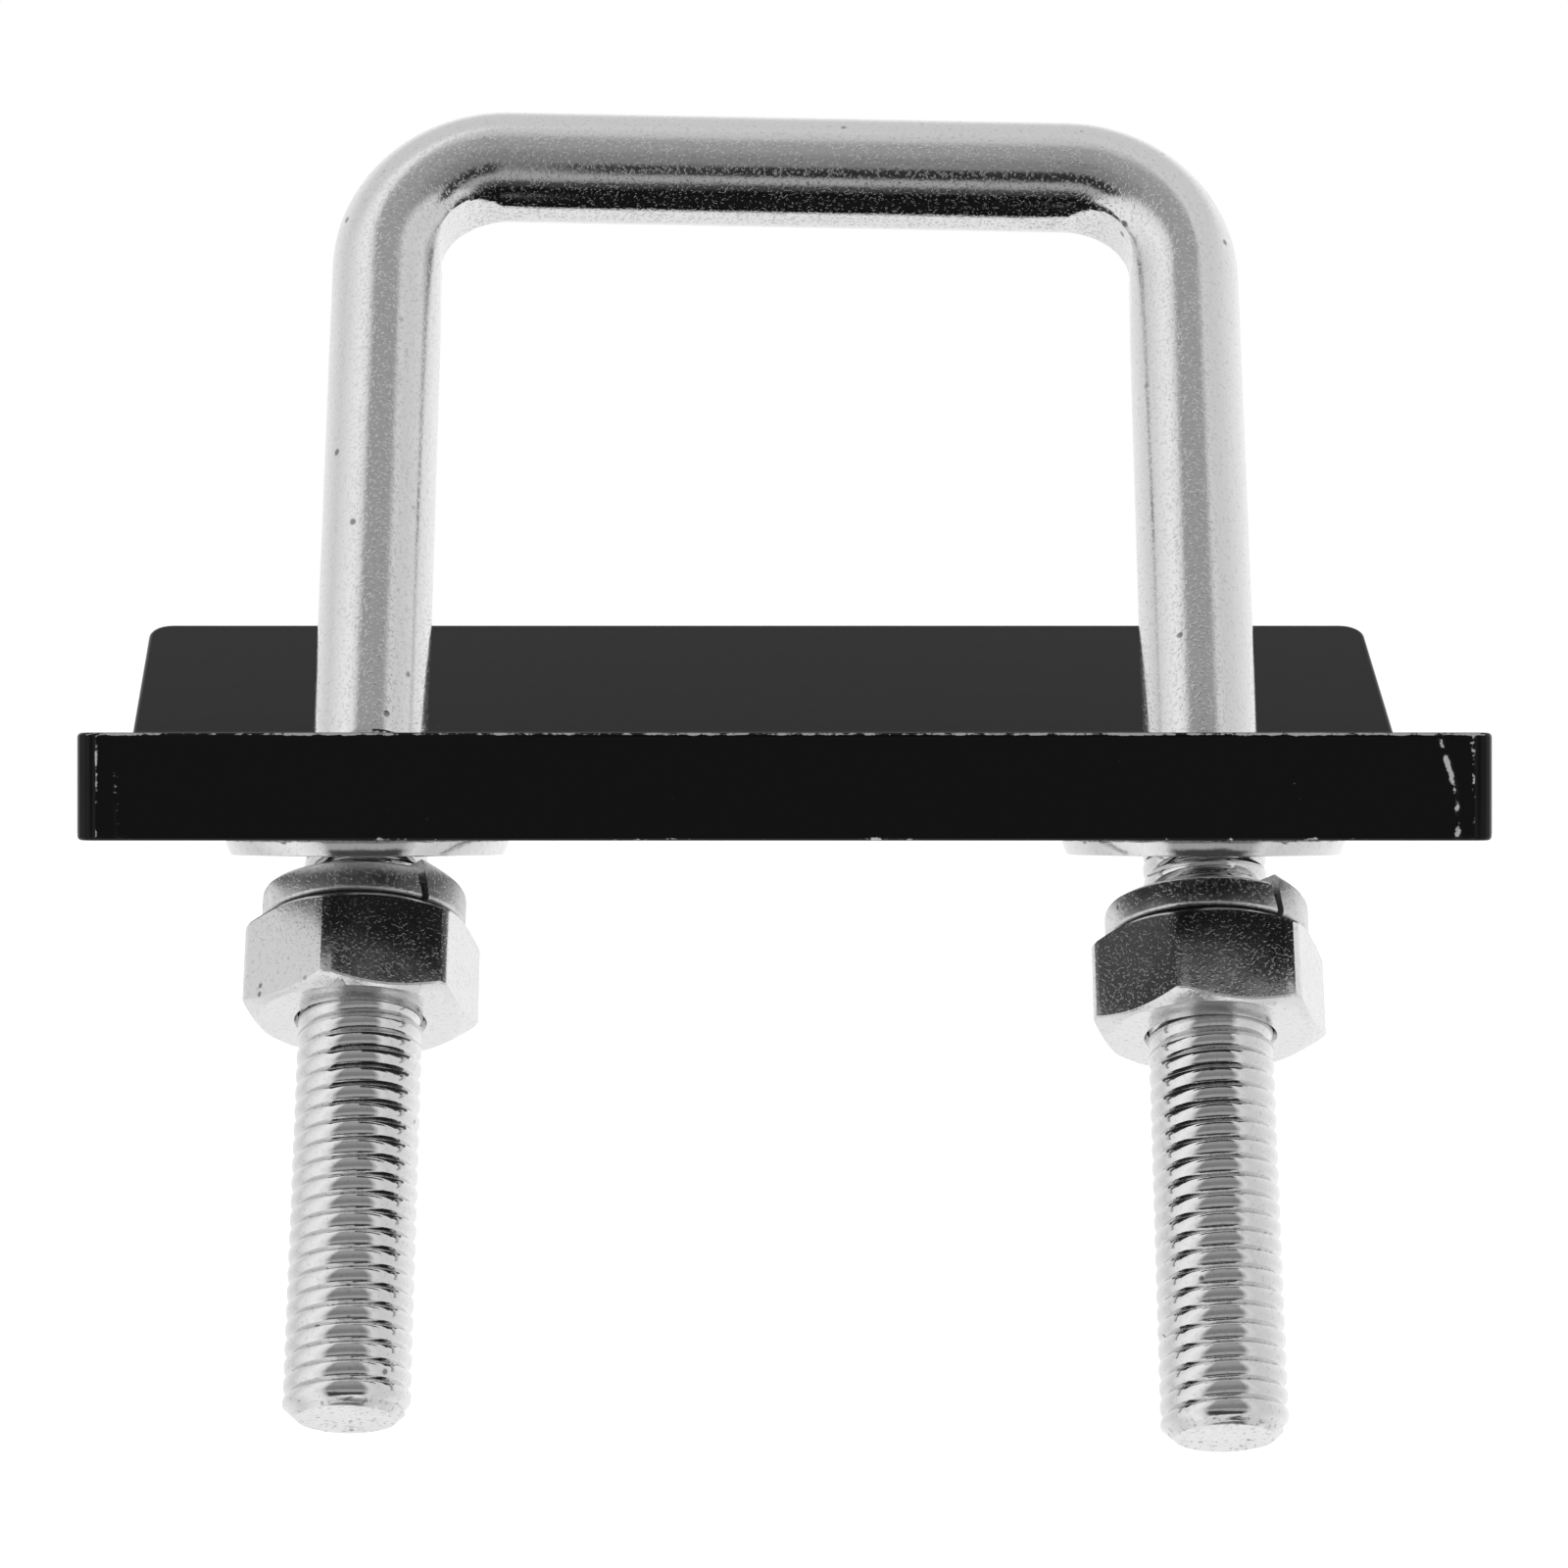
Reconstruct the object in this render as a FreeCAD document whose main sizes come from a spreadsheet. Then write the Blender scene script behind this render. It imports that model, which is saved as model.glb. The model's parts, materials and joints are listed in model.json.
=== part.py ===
import FreeCAD, Part
import math
import os
import Sketcher

# Square-bend U-bolt clamp: a threaded rod bent into a square U, its bent clamp plate,
# and a flat washer, a split lock washer and a hex nut on each leg.
# Frame: millimetres, +X along the plate, +Y towards its bent flange, +Z up. The origin is on
# the plate's top face, midway between the two holes.

SIZES = [
    # name, value, what it is
    ("leg_spacing", "68", "between the two leg axes"),
    ("bend_radius", "10", "of the rod's centreline at each square bend"),
    ("bar_height", "58.4", "bar centreline above the lean axis, at the left leg"),
    ("bar_drop", "1.5", "how much lower the right leg sits than the left, as bent"),
    ("leg_reach", "53.3", "left leg's threaded end below the lean axis"),
    ("lean", "23.2", "degrees the loose bolt leans towards the flange"),
    ("thread_dia", "10", "major diameter, coarse thread"),
    ("thread_pitch", "1.5", "coarse pitch"),
    ("thread_rise", "0.6", "how much rolling adds to the rod's diameter"),
    ("thread_length", "58", "from the leg's end up to the plain rod"),
    ("thread_gap", "0.12", "radial clearance between bolt and nut threads"),
    ("end_chamfer", "1.1", "lead-in on each leg's end"),
    ("plate_length", "108.8", "plate along the two holes"),
    ("web_thickness", "8.3", "flat bar the plate is bent from"),
    ("web_front", "25", "hole row to the plate's front edge"),
    ("bend_line", "21.3", "hole row to where the back flange turns up"),
    ("flange_angle", "29", "degrees the back flange is bent up"),
    ("flange_rise", "10.4", "flange's upper edge above the web's top face"),
    ("plate_bend_radius", "5", "inside the plate's bend"),
    ("corner_radius", "1.6", "ground upright corners at the front"),
    ("flange_corner_radius", "2", "corners of the flange's free edge"),
    ("end_skew", "2.3", "degrees the sawn ends are out of square"),
    ("hole_clearance", "1.25", "what the leaning thread has to spare in a hole"),
    ("washer_dia", "23", "flat washer outside"),
    ("washer_thickness", "1.4", "flat washer"),
    ("washer_clearance", "0.35", "what the rocking thread has to spare in a flat washer"),
    ("seat_gap", "0.02", "hairline between faces that touch"),
    ("lock_dia", "16.4", "split lock washer outside"),
    ("lock_clearance", "0.15", "lock washer bore over the thread, radial"),
    ("lock_thickness", "2.5", "lock washer section"),
    ("lock_rise", "0.4", "how far the lock washer's ends stand apart, one turn"),
    ("lock_split", "8", "degrees cut out of the lock washer"),
    ("nut_flats", "17", "across flats"),
    ("nut_height", "8", "nut"),
    ("nut_crown", "14", "half-angle lost by the nut's end chamfers, degrees off flat"),
    ("nut_slack", "1.3", "how much further the right nut is backed off"),
    ("left_nut_turn", "17", "degrees from a corner facing sideways"),
    ("right_nut_turn", "11.7", "degrees from a corner facing sideways"),
]

DERIVED = [
    ("flange_reach", "bend_line + flange_rise / tan(flange_angle * 1deg)",
     "hole row to the flange's upper edge"),
    ("plate_back", "flange_reach + web_thickness * sin(flange_angle * 1deg)",
     "hole row to the plate's backmost edge"),
    ("rod_dia", "thread_dia - thread_rise", "plain rod, the rolling blank of the thread"),
    ("axis_depth", "web_thickness / 2", "lean axis below the web's top face"),
    ("hole_dia", "thread_dia / cos(lean * 1deg) + web_thickness * tan(lean * 1deg)"
     " + hole_clearance", "lets the leaning leg through"),
    ("washer_low", "(axis_depth + washer_thickness) * tan(lean * 1deg)"
     " + thread_dia / 2 / cos(lean * 1deg)", "leaning thread's reach away from the flange"),
    ("washer_bore", "washer_low + thread_dia / 2 + 2 * washer_clearance",
     "clears the leg square and leaning"),
    ("washer_shift", "(washer_low - thread_dia / 2) / 2", "washer centre away from the flange"),
    ("washer_top", "axis_depth + seat_gap", "below the lean axis"),
    ("lock_bore", "thread_dia + 2 * lock_clearance", "lock washer inside"),
    ("lock_top", "(washer_top + washer_thickness + seat_gap + lock_dia / 2"
     " * sin(lean * 1deg)) / cos(lean * 1deg)", "first lock washer below the lean axis"),
    ("lock_stack", "lock_thickness + lock_rise + seat_gap", "height a lock washer takes up"),
    ("groove_depth", "0.6134 * thread_pitch", "external thread"),
    ("nut_bore", "thread_dia - 2 * 0.5413 * thread_pitch + 2 * thread_gap", "nut minor"),
    ("nut_groove_dia", "thread_dia + 2 * thread_gap", "nut major"),
    ("nut_corners", "nut_flats / cos(30deg)", "across corners"),
    ("thread_start", "thread_pitch * (floor(leg_reach / thread_pitch) + 3)",
     "where the helices begin, whole pitches below the lean axis"),
]

doc = FreeCAD.newDocument("u_bolt_clamp")
sheet = doc.addObject("Spreadsheet::Sheet", "Sizes")
for row, (name, value, note) in enumerate(SIZES, start=1):
    sheet.set(f"A{row}", name)
    sheet.set(f"B{row}", value)
    sheet.setAlias(f"B{row}", name)
    sheet.set(f"C{row}", note)
for row, (name, formula, note) in enumerate(DERIVED, start=len(SIZES) + 1):
    sheet.set(f"A{row}", name)
    sheet.set(f"B{row}", "=" + formula)
    sheet.setAlias(f"B{row}", name)
    sheet.set(f"C{row}", note)
doc.recompute()


def size(name):
    value = sheet.get(name)
    return float(getattr(value, "Value", value))


def new_body(name):
    body = doc.addObject("PartDesign::Body", name)
    body.Label = name
    return body


def plane(body, role):
    return next(f for f in body.Origin.OriginFeatures if f.Role == role)


def new_sketch(body, name, role, lift=None):
    sketch = body.newObject("Sketcher::SketchObject", name)
    sketch.AttachmentSupport = (plane(body, role), [""])
    sketch.MapMode = "FlatFace"
    if lift:
        sketch.setExpression("AttachmentOffset.Base.z", lift)
    return sketch


def bind(sketch, constraint, formula):
    index = sketch.addConstraint(constraint)
    name = f"size_{index}"
    sketch.renameConstraint(index, name)
    sketch.setExpression(f"Constraints.{name}", formula)


def add_polygon(sketch, corners):
    """A closed outline whose corners are pairs of formulas."""
    count = len(corners)
    first = sketch.GeometryCount
    spots = [
        FreeCAD.Vector(9 * math.cos(2 * math.pi * k / count), 9 * math.sin(2 * math.pi * k / count), 0)
        for k in range(count)
    ]
    for k in range(count):
        sketch.addGeometry(Part.LineSegment(spots[k], spots[(k + 1) % count]), False)
    for k in range(count):
        follows = first + (k + 1) % count
        sketch.addConstraint(Sketcher.Constraint("Coincident", first + k, 2, follows, 1))
    for k, (across, up) in enumerate(corners):
        bind(sketch, Sketcher.Constraint("DistanceX", -1, 1, first + k, 1, spots[k].x), across)
        bind(sketch, Sketcher.Constraint("DistanceY", -1, 1, first + k, 1, spots[k].y), up)


def add_circle(sketch, across, up, diameter):
    index = sketch.addGeometry(
        Part.Circle(FreeCAD.Vector(3, 3, 0), FreeCAD.Vector(0, 0, 1), 2), False
    )
    bind(sketch, Sketcher.Constraint("DistanceX", -1, 1, index, 3, 3), across)
    bind(sketch, Sketcher.Constraint("DistanceY", -1, 1, index, 3, 3), up)
    bind(sketch, Sketcher.Constraint("Diameter", index, 4), diameter)


def new_pad(body, name, sketch, length, reverse=False):
    pad = body.newObject("PartDesign::Pad", name)
    pad.Profile = sketch
    pad.setExpression("Length", length)
    pad.Reversed = reverse
    return pad


def new_pocket(body, name, sketch, both_ways=True):
    pocket = body.newObject("PartDesign::Pocket", name)
    pocket.Profile = sketch
    pocket.Type = "ThroughAll"
    pocket.Midplane = both_ways
    return pocket


def edge_names(shape, wanted):
    return [f"Edge{k}" for k, edge in enumerate(shape.Edges, start=1) if wanted(edge)]


def round_edges(body, name, base, edges, radius):
    feature = body.newObject("PartDesign::Fillet", name)
    feature.Base = (base, edges)
    feature.setExpression("Radius", radius)
    return feature


def cut_helix(body, name, sketch, height):
    """A right-hand helical groove about the sketch's first construction line."""
    helix = body.newObject("PartDesign::SubtractiveHelix", name)
    helix.Profile = sketch
    helix.ReferenceAxis = (sketch, ["Axis0"])
    helix.Mode = 0
    helix.setExpression("Pitch", "Sizes.thread_pitch")
    helix.setExpression("Height", height)
    helix.Angle = 0
    helix.LeftHanded = False
    helix.Reversed = False
    return helix


def add_axis_line(sketch, across):
    """A construction line straight up the sketch, the axis of a helix."""
    index = sketch.addGeometry(
        Part.LineSegment(FreeCAD.Vector(1, 0, 0), FreeCAD.Vector(1, 10, 0)), True
    )
    bind(sketch, Sketcher.Constraint("DistanceX", -1, 1, index, 1, 1), across)
    sketch.addConstraint(Sketcher.Constraint("DistanceY", -1, 1, index, 1, 0))
    sketch.addConstraint(Sketcher.Constraint("Vertical", index))
    sketch.addConstraint(Sketcher.Constraint("DistanceY", index, 1, index, 2, 10))


# ---- clamp plate: a length of flat bar with its back bent up, and two oversize holes ----
plate = new_body("clamp_plate")
side_view = new_sketch(plate, "side_profile", "YZ_Plane")
add_polygon(side_view, [
    ("-Sizes.web_front", "-Sizes.web_thickness"),
    (
        "Sizes.bend_line + Sizes.web_thickness * tan(Sizes.flange_angle / 2 * 1deg)",
        "-Sizes.web_thickness",
    ),
    (
        "Sizes.plate_back",
        "Sizes.flange_rise - Sizes.web_thickness * cos(Sizes.flange_angle * 1deg)",
    ),
    ("Sizes.flange_reach", "Sizes.flange_rise"),
    ("Sizes.bend_line", "0"),
    ("-Sizes.web_front", "0"),
])
bar_stock = new_pad(plate, "bar_stock", side_view, "Sizes.plate_length + 20")
bar_stock.Midplane = True
doc.recompute()


def along_plate(edge, depth, level):
    middle = edge.CenterOfMass
    return (
        edge.Length > size("plate_length")
        and abs(middle.y - depth) < 0.01
        and abs(middle.z - level) < 0.01
    )


heel_depth = size("bend_line") + size("web_thickness") * math.tan(
    math.radians(size("flange_angle") / 2)
)
inside = round_edges(
    plate, "bend_inside", bar_stock,
    edge_names(bar_stock.Shape, lambda e: along_plate(e, size("bend_line"), 0)),
    "Sizes.plate_bend_radius",
)
doc.recompute()
outside = round_edges(
    plate, "bend_outside", inside,
    edge_names(
        inside.Shape, lambda e: along_plate(e, heel_depth, -size("web_thickness"))
    ),
    "Sizes.plate_bend_radius + Sizes.web_thickness",
)
doc.recompute()
shear = "tan(Sizes.end_skew * 1deg)"


def end_x(side, depth):
    """Where a sawn end crosses the given depth."""
    return f"{side} * Sizes.plate_length / 2 - ({depth} + Sizes.web_front) * {shear}"


sawn = new_sketch(plate, "sawn_ends_outline", "XY_Plane")
for side in (-1, 1):
    waste = f"{side} * (Sizes.plate_length / 2 + 20)"
    add_polygon(sawn, [
        (end_x(side, "(-Sizes.web_front - 5)"), "-Sizes.web_front - 5"),
        (end_x(side, "(Sizes.plate_back + 5)"), "Sizes.plate_back + 5"),
        (waste, "Sizes.plate_back + 5"),
        (waste, "-Sizes.web_front - 5"),
    ])
sawn_ends = new_pocket(plate, "sawn_ends", sawn)
doc.recompute()


def at_front_corner(edge):
    if edge.Curve.TypeId != "Part::GeomLine":
        return False
    upright = abs(edge.tangentAt(edge.FirstParameter).z) > 0.999
    return upright and abs(edge.CenterOfMass.y + size("web_front")) < 0.01


def at_flange_corner(edge):
    middle = edge.CenterOfMass
    between = (size("flange_reach") + size("plate_back")) / 2
    return abs(middle.y - between) < 0.1 and abs(middle.x) > size("leg_spacing") / 2


corners = round_edges(
    plate, "ground_corners", sawn_ends, edge_names(sawn_ends.Shape, at_front_corner),
    "Sizes.corner_radius",
)
doc.recompute()
flange_corners = round_edges(
    plate, "flange_corners", corners, edge_names(corners.Shape, at_flange_corner),
    "Sizes.flange_corner_radius",
)
doc.recompute()
holes_at = new_sketch(plate, "holes_outline", "XY_Plane")
for side in (-1, 1):
    add_circle(holes_at, f"{side} * Sizes.leg_spacing / 2", "0", "Sizes.hole_dia")
holes = new_pocket(plate, "holes", holes_at)
doc.recompute()

# ---- the bent rod, built upright about the lean axis, then leaned ----
u_bolt = new_body("u_bolt")
spine = new_sketch(u_bolt, "rod_path", "XZ_Plane")
out = size("leg_spacing") / 2
top = size("bar_height")
drop = size("bar_drop")
bend = size("bend_radius")
low = -size("leg_reach")
V = FreeCAD.Vector
UP = V(0, 0, 1)
slope = math.atan2(drop, size("leg_spacing"))
square = math.pi / 2 - slope


def bend_centre(across):
    under = top - (across + out) * math.tan(slope) - bend / math.cos(slope)
    return V(across, under, 0)


left_at = bend_centre(-out + bend)
right_at = bend_centre(out - bend)
on_bar = V(math.cos(square), math.sin(square), 0) * bend
spine.addGeometry([
    Part.LineSegment(V(-out, low, 0), V(-out, left_at.y, 0)),
    Part.ArcOfCircle(Part.Circle(left_at, UP, bend), square, math.pi),
    Part.LineSegment(left_at + on_bar, right_at + on_bar),
    Part.ArcOfCircle(Part.Circle(right_at, UP, bend), 0, square),
    Part.LineSegment(V(out, right_at.y, 0), V(out, low - drop, 0)),
], False)
spine.addConstraint(Sketcher.Constraint("Vertical", 0))
spine.addConstraint(Sketcher.Constraint("Vertical", 4))
for arc, before, after in ((1, 0, 2), (3, 2, 4)):
    spine.addConstraint(Sketcher.Constraint("Tangent", before, 2, arc, 2))
    spine.addConstraint(Sketcher.Constraint("Tangent", arc, 1, after, 1))
    bind(spine, Sketcher.Constraint("Radius", arc, bend), "Sizes.bend_radius")
bind(spine, Sketcher.Constraint("DistanceX", -1, 1, 0, 1, -out), "-Sizes.leg_spacing / 2")
bind(spine, Sketcher.Constraint("DistanceY", -1, 1, 0, 1, low), "-Sizes.leg_reach")
bind(spine, Sketcher.Constraint("DistanceX", -1, 1, 4, 2, out), "Sizes.leg_spacing / 2")
bind(
    spine, Sketcher.Constraint("DistanceY", -1, 1, 4, 2, low - drop),
    "-Sizes.leg_reach - Sizes.bar_drop",
)
for across, up, across_formula, up_formula in (
    (-out, top, "-Sizes.leg_spacing / 2", "Sizes.bar_height"),
    (out, top - drop, "Sizes.leg_spacing / 2", "Sizes.bar_height - Sizes.bar_drop"),
):
    mark = spine.addGeometry(Part.Point(V(across, up, 0)), True)
    bind(spine, Sketcher.Constraint("DistanceX", -1, 1, mark, 1, across), across_formula)
    bind(spine, Sketcher.Constraint("DistanceY", -1, 1, mark, 1, up), up_formula)
    spine.addConstraint(Sketcher.Constraint("PointOnObject", mark, 1, 2))
section = new_sketch(u_bolt, "rod_section", "XY_Plane", "-Sizes.leg_reach")
add_circle(section, "-Sizes.leg_spacing / 2", "0", "Sizes.rod_dia")
rod = u_bolt.newObject("PartDesign::AdditivePipe", "rod")
rod.Profile = section
rod.Spine = (spine, [""])
doc.recompute()
for side, word, end in (
    (-1, "left", "Sizes.leg_reach"),
    (1, "right", "(Sizes.leg_reach + Sizes.bar_drop)"),
):
    blank = new_sketch(u_bolt, f"{word}_blank_outline", "XY_Plane", f"-{end}")
    add_circle(blank, f"{side} * Sizes.leg_spacing / 2", "0", "Sizes.thread_dia")
    new_pad(u_bolt, f"{word}_blank", blank, "Sizes.thread_length")
doc.recompute()
tip = u_bolt.Tip
ends = edge_names(
    tip.Shape,
    lambda e: e.Curve.TypeId == "Part::GeomCircle"
    and e.CenterOfMass.z < -size("leg_reach") + 0.01
    and abs(e.Curve.Radius - size("thread_dia") / 2) < 0.01,
)
lead_in = u_bolt.newObject("PartDesign::Chamfer", "lead_in")
lead_in.Base = (tip, ends)
lead_in.setExpression("Size", "Sizes.end_chamfer")
doc.recompute()
for side, word, end in (
    (-1, "left", "Sizes.leg_reach"),
    (1, "right", "(Sizes.leg_reach + Sizes.bar_drop)"),
):
    groove = new_sketch(u_bolt, f"{word}_groove", "XZ_Plane")
    middle = f"{side} * Sizes.leg_spacing / 2"
    add_axis_line(groove, middle)
    bottom = f"{middle} + Sizes.thread_dia / 2 - Sizes.groove_depth"
    mouth = f"{middle} + Sizes.thread_dia / 2 + 0.08 * Sizes.thread_pitch"
    shut = "0.0625 * Sizes.thread_pitch"
    wide = "(0.0625 + 0.577 * 0.6934) * Sizes.thread_pitch"
    add_polygon(groove, [
        (bottom, f"-Sizes.thread_start - {shut}"),
        (mouth, f"-Sizes.thread_start - {wide}"),
        (mouth, f"-Sizes.thread_start + {wide}"),
        (bottom, f"-Sizes.thread_start + {shut}"),
    ])
    cut_helix(
        u_bolt, f"{word}_thread", groove,
        f"Sizes.thread_start - {end} + Sizes.thread_length - Sizes.thread_pitch",
    )
    doc.recompute()

# ---- flat washers, against the underside of the web ----
washers = []
for side, word in ((-1, "left"), (1, "right")):
    washer = new_body(f"flat_washer_{word}")
    ring = new_sketch(washer, f"{word}_washer_outline", "XY_Plane")
    add_circle(ring, "0", "0", "Sizes.washer_dia")
    add_circle(ring, "0", "0", "Sizes.washer_bore")
    new_pad(washer, f"{word}_washer", ring, "Sizes.washer_thickness", reverse=True)
    washer.setExpression("Placement.Base.x", f"{side} * Sizes.leg_spacing / 2")
    washer.setExpression("Placement.Base.y", "-Sizes.washer_shift")
    washer.setExpression("Placement.Base.z", "-Sizes.axis_depth - Sizes.washer_top")
    washers.append(washer)
doc.recompute()


def lean_body(body, across, along, turn="0"):
    """Puts a body on a leaning leg: along is measured up the leg from the lean axis."""
    body.setExpression("Placement.Base.x", across)
    body.setExpression("Placement.Base.y", f"({along}) * sin(Sizes.lean * 1deg)")
    body.setExpression(
        "Placement.Base.z", f"-Sizes.axis_depth + ({along}) * cos(Sizes.lean * 1deg)"
    )
    body.setExpression(
        "Placement.Rotation",
        f"create(<<rotation>>; vector(1; 0; 0); -Sizes.lean)"
        f" * create(<<rotation>>; vector(0; 0; 1); {turn})",
    )


# ---- split lock washers and nuts ----
locks = []
nuts = []
for side, word, slack in ((-1, "left", "0"), (1, "right", "Sizes.nut_slack")):
    lock = new_body(f"lock_washer_{word}")
    coil = new_sketch(lock, f"{word}_coil_section", "XZ_Plane")
    add_axis_line(coil, "0")
    inner_r = "Sizes.lock_bore / 2"
    outer_r = "Sizes.lock_dia / 2"
    base = "-Sizes.lock_thickness - Sizes.lock_rise"
    add_polygon(coil, [
        (inner_r, base),
        (outer_r, f"{base} + 0.05 * Sizes.lock_thickness"),
        (outer_r, f"{base} + 0.95 * Sizes.lock_thickness"),
        (inner_r, f"{base} + Sizes.lock_thickness"),
    ])
    turn = lock.newObject("PartDesign::AdditiveHelix", f"{word}_coil")
    turn.Profile = coil
    turn.ReferenceAxis = (coil, ["Axis0"])
    turn.Mode = 0
    turn.setExpression("Pitch", "Sizes.lock_rise")
    turn.setExpression("Height", "Sizes.lock_rise * (360 - Sizes.lock_split) / 360")
    turn.Angle = 0
    turn.LeftHanded = False
    turn.Reversed = False
    lean_body(lock, f"{side} * Sizes.leg_spacing / 2", f"-Sizes.lock_top - {slack}", "50")
    locks.append(lock)

    nut = new_body(f"nut_{word}")
    hexagon = new_sketch(nut, f"{word}_hexagon", "XY_Plane")
    add_polygon(hexagon, [
        (f"Sizes.nut_corners / 2 * cos({60 * k}deg)", f"Sizes.nut_corners / 2 * sin({60 * k}deg)")
        for k in range(6)
    ])
    add_circle(hexagon, "0", "0", "Sizes.nut_bore")
    new_pad(nut, f"{word}_prism", hexagon, "Sizes.nut_height", reverse=True)
    crown = new_sketch(nut, f"{word}_crown_outline", "XZ_Plane")
    fall = "(Sizes.nut_corners / 2 + 2 - 0.475 * Sizes.nut_flats) * tan(2 * Sizes.nut_crown * 1deg)"
    face_r = "0.475 * Sizes.nut_flats"
    far_r = "Sizes.nut_corners / 2 + 2"
    add_polygon(crown, [(face_r, "0"), (far_r, f"-{fall}"), (far_r, "0")])
    add_polygon(crown, [
        (face_r, "-Sizes.nut_height"),
        (far_r, "-Sizes.nut_height"),
        (far_r, f"-Sizes.nut_height + {fall}"),
    ])
    bore_r = "Sizes.nut_bore / 2"
    add_polygon(crown, [
        (f"{bore_r} - 0.3", "0.3"),
        ("Sizes.nut_groove_dia / 2 + 0.3", "0.3"),
        (f"{bore_r} - 0.3", f"-(Sizes.nut_groove_dia - Sizes.nut_bore) / 2 - 0.3"),
    ])
    add_polygon(crown, [
        (f"{bore_r} - 0.3", "-Sizes.nut_height - 0.3"),
        (f"{bore_r} - 0.3", "-Sizes.nut_height + (Sizes.nut_groove_dia - Sizes.nut_bore) / 2 + 0.3"),
        ("Sizes.nut_groove_dia / 2 + 0.3", "-Sizes.nut_height - 0.3"),
    ])
    crowned = nut.newObject("PartDesign::Groove", f"{word}_crown")
    crowned.Profile = crown
    crowned.ReferenceAxis = (crown, ["V_Axis"])
    crowned.Angle = 360
    nut_at = f"(Sizes.lock_top + Sizes.lock_stack + {slack})"
    turned = f"Sizes.{word}_nut_turn"
    flight = new_sketch(nut, f"{word}_flight", "XZ_Plane")
    add_axis_line(flight, "0")
    phase = (
        f"mod(Sizes.thread_pitch / 2 + {turned} / 360 * Sizes.thread_pitch"
        f" + {nut_at} + 40 * Sizes.thread_pitch; Sizes.thread_pitch)"
    )
    # The tap starts whole pitches below the nut, so its groove meets the bolt's crest.
    height = (
        f"({phase} - Sizes.thread_pitch"
        " * (floor(Sizes.nut_height / Sizes.thread_pitch) + 3))"
    )
    deep = "Sizes.nut_groove_dia / 2"
    shallow = "Sizes.nut_bore / 2 - 0.06 * Sizes.thread_pitch"
    narrow = "0.0625 * Sizes.thread_pitch"
    open_by = f"({narrow} + 0.577 * ({deep} - ({shallow})))"
    add_polygon(flight, [
        (deep, f"{height} - {narrow}"),
        (deep, f"{height} + {narrow}"),
        (shallow, f"{height} + {open_by}"),
        (shallow, f"{height} - {open_by}"),
    ])
    cut_helix(nut, f"{word}_tapping", flight, "Sizes.nut_height + 5 * Sizes.thread_pitch")
    lean_body(nut, f"{side} * Sizes.leg_spacing / 2", f"-{nut_at}", turned)
    nuts.append(nut)
    doc.recompute()

lean_body(u_bolt, "0", "0")
doc.recompute()

# ---- checks, then one file for each piece ----
for item in doc.Objects:
    bad = [state for state in item.State if state in ("Invalid", "Error")]
    if bad:
        raise RuntimeError(f"{item.Label}: {item.State} {item.getStatusString()}")
pieces = [plate, u_bolt] + washers + locks + nuts
os.makedirs("parts", exist_ok=True)
for piece in pieces:
    shape = piece.Shape
    if shape.isNull() or not shape.isValid() or len(shape.Solids) != 1:
        raise RuntimeError(f"{piece.Label} is not one valid solid")
for piece in pieces:
    piece.Shape.exportStep(f"parts/{piece.Label}.step")
    print(piece.Label, round(piece.Shape.Volume, 1))
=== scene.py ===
import json
import math

import bmesh
import bpy
from mathutils import Matrix, Vector, noise


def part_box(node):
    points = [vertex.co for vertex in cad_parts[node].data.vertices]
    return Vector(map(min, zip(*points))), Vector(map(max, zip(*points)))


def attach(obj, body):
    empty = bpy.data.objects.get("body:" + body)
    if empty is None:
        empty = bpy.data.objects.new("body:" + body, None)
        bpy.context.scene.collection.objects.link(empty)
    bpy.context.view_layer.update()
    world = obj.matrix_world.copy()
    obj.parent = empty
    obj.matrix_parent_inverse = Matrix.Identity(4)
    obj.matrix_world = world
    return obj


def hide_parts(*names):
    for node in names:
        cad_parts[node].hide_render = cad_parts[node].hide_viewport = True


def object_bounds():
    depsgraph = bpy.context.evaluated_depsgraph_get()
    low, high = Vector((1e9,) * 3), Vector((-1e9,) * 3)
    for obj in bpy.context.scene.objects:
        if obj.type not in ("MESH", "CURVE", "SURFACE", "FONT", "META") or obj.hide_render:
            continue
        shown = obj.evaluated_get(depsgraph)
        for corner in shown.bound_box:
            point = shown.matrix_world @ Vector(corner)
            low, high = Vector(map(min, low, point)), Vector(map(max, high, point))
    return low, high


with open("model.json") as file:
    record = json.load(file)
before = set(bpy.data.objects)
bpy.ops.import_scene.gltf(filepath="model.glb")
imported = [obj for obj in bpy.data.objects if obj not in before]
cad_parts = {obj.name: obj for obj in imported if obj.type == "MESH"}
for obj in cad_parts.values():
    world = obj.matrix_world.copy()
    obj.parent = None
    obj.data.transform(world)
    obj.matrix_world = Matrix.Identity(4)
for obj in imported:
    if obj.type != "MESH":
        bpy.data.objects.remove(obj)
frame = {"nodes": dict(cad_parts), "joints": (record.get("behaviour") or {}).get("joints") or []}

bl_info = {
    "name": "Square-bend U-bolt clamp",
    "version": (1, 0, 0),
    "blender": (4, 5, 0),
    "location": "View3D > Sidebar > U-bolt clamp",
    "description": "Detailed pieces of a square-bend U-bolt clamp on its packed frame",
    "category": "Object",
}

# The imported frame: metres, +X along the plate, +Y towards its flange, +Z up.
CAD_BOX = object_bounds()
JOINTS = {joint["name"]: joint for joint in frame["joints"]}
LEG_AXIS = Vector(JOINTS["bolt_draw"]["axis"]).normalized()
LEAN_POINT = Vector(JOINTS["bolt_rock"]["pos_m"])
LEAN = math.atan2(LEG_AXIS.y, LEG_AXIS.z)
HALF_SPACING = JOINTS["nut_right_spin"]["pos_m"][0]
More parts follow.
